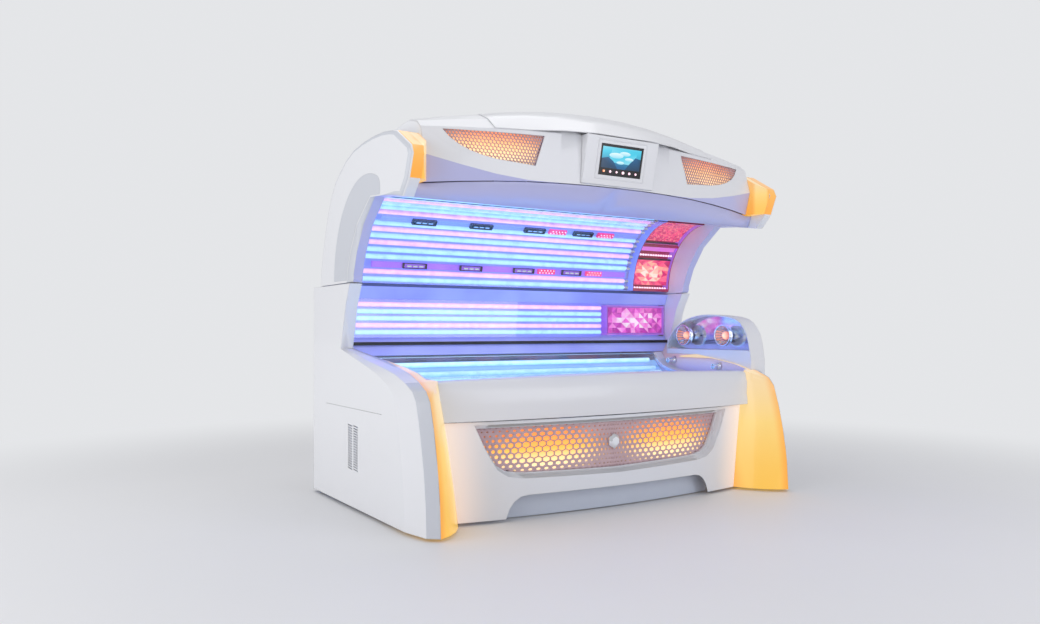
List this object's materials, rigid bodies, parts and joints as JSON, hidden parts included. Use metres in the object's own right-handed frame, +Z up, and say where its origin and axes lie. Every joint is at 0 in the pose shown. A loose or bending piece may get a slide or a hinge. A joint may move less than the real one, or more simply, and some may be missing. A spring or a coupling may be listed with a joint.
{
  "type": "clamshell tanning bed",
  "caption": "Clamshell tanning bed: concave acrylic bench with lamps, side wall and head console, glowing end strips, honeycomb grilles and a hinged lamp canopy with a display.",
  "frame": {"origin": "centre of the bounding box on the floor", "axes": "+X along the bed to the head end, +Y to the rear, +Z up"},
  "size_m": [2.36, 1.4599, 2.0639],
  "materials": {
    "white_shell": "glossy cool white moulded shell",
    "grey_trim": "satin grey",
    "dark_plastic": "matte near black",
    "glow_panel": "translucent diffuser lit from behind in amber",
    "mauve_grille": "anodised mauve honeycomb sheet",
    "clear_acrylic": "clear polished acrylic",
    "lamp_glass": "lit lamp tubes in cyan and pink",
    "bulb_glass": "warm lit bulb",
    "bright_aluminium": "polished reflector sheet",
    "frame_steel": "grey powder coat",
    "chrome_trim": "mirror chrome",
    "screen_glass": "dark display glass"
  },
  "bodies": {
    "base": {"ballast_box": "frame_steel", "base_frame": "frame_steel", "bench_lamp_bank": "lamp_glass", "bench_reflector": "bright_aluminium", "console_bulb_front": "bulb_glass", "console_bulb_rear": "bulb_glass", "console_lens": "clear_acrylic", "console_pod": "white_shell", "console_reflector": "chrome_trim", "control_box": "frame_steel", "fan_housing": "dark_plastic", "foot_front_left": "dark_plastic", "foot_front_right": "dark_plastic", "foot_rear_left": "dark_plastic", "foot_rear_right": "dark_plastic", "front_grille": "mauve_grille", "front_light_box": "glow_panel", "front_panel": "white_shell", "front_rail": "white_shell", "grille_badge": "chrome_trim", "left_end_cover": "white_shell", "left_light_strip": "glow_panel", "lift_actuator_left": "dark_plastic", "lift_actuator_right": "dark_plastic", "plinth": "grey_trim", "rear_panel": "white_shell", "right_end_cover": "white_shell", "right_light_strip": "glow_panel", "shoulder_module": "bright_aluminium", "side_acrylic": "clear_acrylic", "side_lamp_bank": "lamp_glass", "side_reflector": "bright_aluminium", "side_trim_rail": "dark_plastic"},
    "canopy": {"canopy_acrylic": "clear_acrylic", "canopy_cap_left": "white_shell", "canopy_cap_right": "white_shell", "canopy_fascia": "white_shell", "canopy_frame": "frame_steel", "canopy_grille_left": "mauve_grille", "canopy_grille_right": "mauve_grille", "canopy_lamp_bank": "lamp_glass", "canopy_lip": "white_shell", "canopy_reflector": "bright_aluminium", "canopy_shell": "white_shell", "canopy_skirt": "grey_trim", "canopy_strip_left": "glow_panel", "canopy_strip_right": "glow_panel", "canopy_top_cover": "white_shell", "display_housing": "white_shell", "display_screen": "screen_glass", "face_lens": "clear_acrylic", "face_module": "bright_aluminium", "jet_bar_lower": "dark_plastic", "jet_bar_upper": "dark_plastic"},
    "bench_acrylic": {"bench_acrylic": "clear_acrylic"},
    "nozzle_front": {"console_nozzle_front": "chrome_trim"},
    "nozzle_rear": {"console_nozzle_rear": "chrome_trim"},
    "fan": {"fan_rotor": "dark_plastic"},
    "lift_rod_right": {"lift_rod_right": "frame_steel"},
    "lift_rod_left": {"lift_rod_left": "frame_steel"}
  },
  "joints": [
    {"name": "canopy_hinge", "type": "hinge", "parent": "base", "child": "canopy", "pos_m": [0, 0.172, 1.19], "axis": [1, 0, 0], "range_deg": [0, 42]},
    {"name": "lift_right", "type": "slide", "parent": "base", "child": "lift_rod_right", "axis": [0, 0, 1], "range_m": [0, 0.115]},
    {"name": "lift_left", "type": "slide", "parent": "base", "child": "lift_rod_left", "axis": [0, 0, 1], "range_m": [0, 0.115]},
    {"name": "bench_acrylic_lift", "type": "hinge", "parent": "base", "child": "bench_acrylic", "pos_m": [0, 0.2956, 0.7643], "axis": [-1, 0, 0], "range_deg": [0, 20]},
    {"name": "nozzle_front_swivel", "type": "hinge", "parent": "base", "child": "nozzle_front", "pos_m": [1.034, -0.248, 0.7], "axis": [0, 0, 1], "range_deg": [-20, 20]},
    {"name": "nozzle_rear_swivel", "type": "hinge", "parent": "base", "child": "nozzle_rear", "pos_m": [1.034, 0.157, 0.726], "axis": [0, 0, 1], "range_deg": [-20, 20]},
    {"name": "fan_spin", "type": "hinge", "parent": "base", "child": "fan", "pos_m": [-0.42, 0.676, 0.33], "axis": [0, 1, 0], "continuous": true}
  ],
  "couplings": [
    {"joint": "lift_right", "follows": "canopy_hinge", "m_per_rad": 0.1564},
    {"joint": "lift_left", "follows": "canopy_hinge", "m_per_rad": 0.1564}
  ]
}
